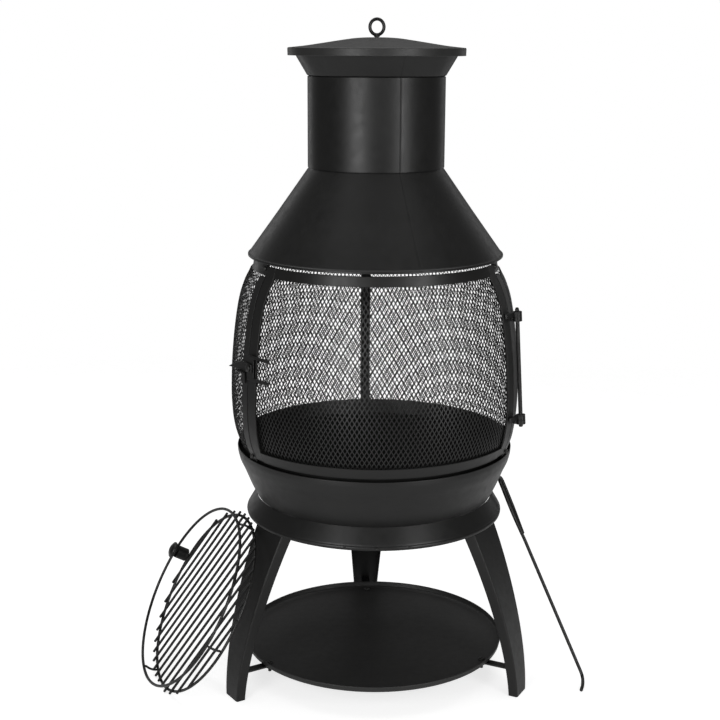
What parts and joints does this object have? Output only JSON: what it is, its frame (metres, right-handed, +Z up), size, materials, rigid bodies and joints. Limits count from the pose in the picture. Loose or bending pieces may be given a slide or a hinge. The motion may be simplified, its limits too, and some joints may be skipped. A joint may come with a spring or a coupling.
{
  "type": "chiminea",
  "caption": "Free-standing black steel chiminea: mesh-sided firebox with hinged door, hood, flue and lid on three curved legs with a log tray, leaning grate and poker.",
  "frame": {"origin": "on the ground under the middle of the whole set, grate and poker included", "axes": "+Z up, -Y towards the viewer who stands in front of the door, +X to that viewer's right, where the door's hinge is"},
  "size_m": [0.7927, 0.5435, 1.15],
  "materials": {
    "body_paint": "satin black heat-resistant paint on rolled sheet",
    "stand_paint": "satin black heat-resistant paint",
    "frame_paint": "satin black heat-resistant paint on flat bar",
    "mesh_paint": "satin black paint on expanded metal mesh",
    "bracket_paint": "satin black paint on folded plate",
    "wire_paint": "satin black paint on round wire",
    "lid_paint": "satin black heat-resistant paint",
    "fastener_steel": "blackened steel fasteners"
  },
  "bodies": {
    "root": {"leg_front_left": "stand_paint", "leg_rear": "stand_paint", "leg_front_right": "stand_paint", "base_ring": "body_paint", "fire_bowl": "body_paint", "log_tray": "stand_paint", "tray_bracket_front_left": "bracket_paint", "tray_bracket_rear": "bracket_paint", "tray_bracket_front_right": "bracket_paint", "tray_bolt_front_left": "fastener_steel", "tray_bolt_rear": "fastener_steel", "tray_bolt_front_right": "fastener_steel", "tray_nut_front_left": "fastener_steel", "tray_nut_rear": "fastener_steel", "tray_nut_front_right": "fastener_steel", "screen_top_band": "frame_paint", "screen_bottom_band": "frame_paint", "mesh_panel_left": "mesh_paint", "mesh_panel_right": "mesh_paint", "post_left": "frame_paint", "post_rear": "frame_paint", "post_right": "frame_paint", "post_bolt_left": "fastener_steel", "post_bolt_rear": "fastener_steel", "post_bolt_right": "fastener_steel", "hood_bracket_left": "bracket_paint", "hood_bracket_rear": "bracket_paint", "hood_bracket_right": "bracket_paint", "hood_bolt_left": "fastener_steel", "hood_bolt_rear": "fastener_steel", "hood_bolt_right": "fastener_steel", "hood_cone": "body_paint", "flue_pipe": "body_paint", "flue_collar": "body_paint", "hinge_lug_bottom": "bracket_paint", "hinge_lug_top": "bracket_paint", "hinge_rod": "fastener_steel", "latch_rest": "bracket_paint"},
    "door": {"door_bottom_rail": "frame_paint", "door_top_rail": "frame_paint", "door_hinge_stile": "frame_paint", "door_latch_stile": "frame_paint", "door_mesh": "mesh_paint", "knuckle_bottom": "bracket_paint", "knuckle_top": "bracket_paint", "latch_bracket": "bracket_paint", "latch_pivot": "fastener_steel"},
    "latch": {"latch_lever": "bracket_paint"},
    "lid": {"lid_cap": "lid_paint", "lid_ring": "wire_paint", "lid_nut": "fastener_steel"},
    "grate": {"grate_bars": "wire_paint", "grate_stand_ring": "wire_paint", "grate_link_1": "wire_paint", "grate_link_2": "wire_paint", "grate_link_3": "wire_paint", "grate_spacer": "wire_paint", "grate_knob": "wire_paint"},
    "poker": {"poker": "wire_paint"}
  },
  "joints": [
    {"name": "door_swing", "type": "hinge", "parent": "root", "child": "door", "pos_m": [0.26838, -0.13014, 0.485], "axis": [-0.059, 0.0265, 0.9979], "range_deg": [0, 110]},
    {"name": "latch_turn", "type": "hinge", "parent": "door", "child": "latch", "pos_m": [-0.18993, -0.1639, 0.587], "axis": [0.8329, 0.5534, 0], "range_deg": [0, 60]},
    {"name": "lid_lift", "type": "slide", "parent": "root", "child": "lid", "axis": [0, 0, 1], "range_m": [0, 0.12]},
    {"name": "grate_lift", "type": "slide", "parent": "root", "child": "grate", "axis": [-0.8239, -0.2805, 0.4924], "range_m": [0, 0.2]},
    {"name": "poker_lift", "type": "slide", "parent": "root", "child": "poker", "axis": [0.6, 0.2, 0.7746], "range_m": [0, 0.2]}
  ]
}
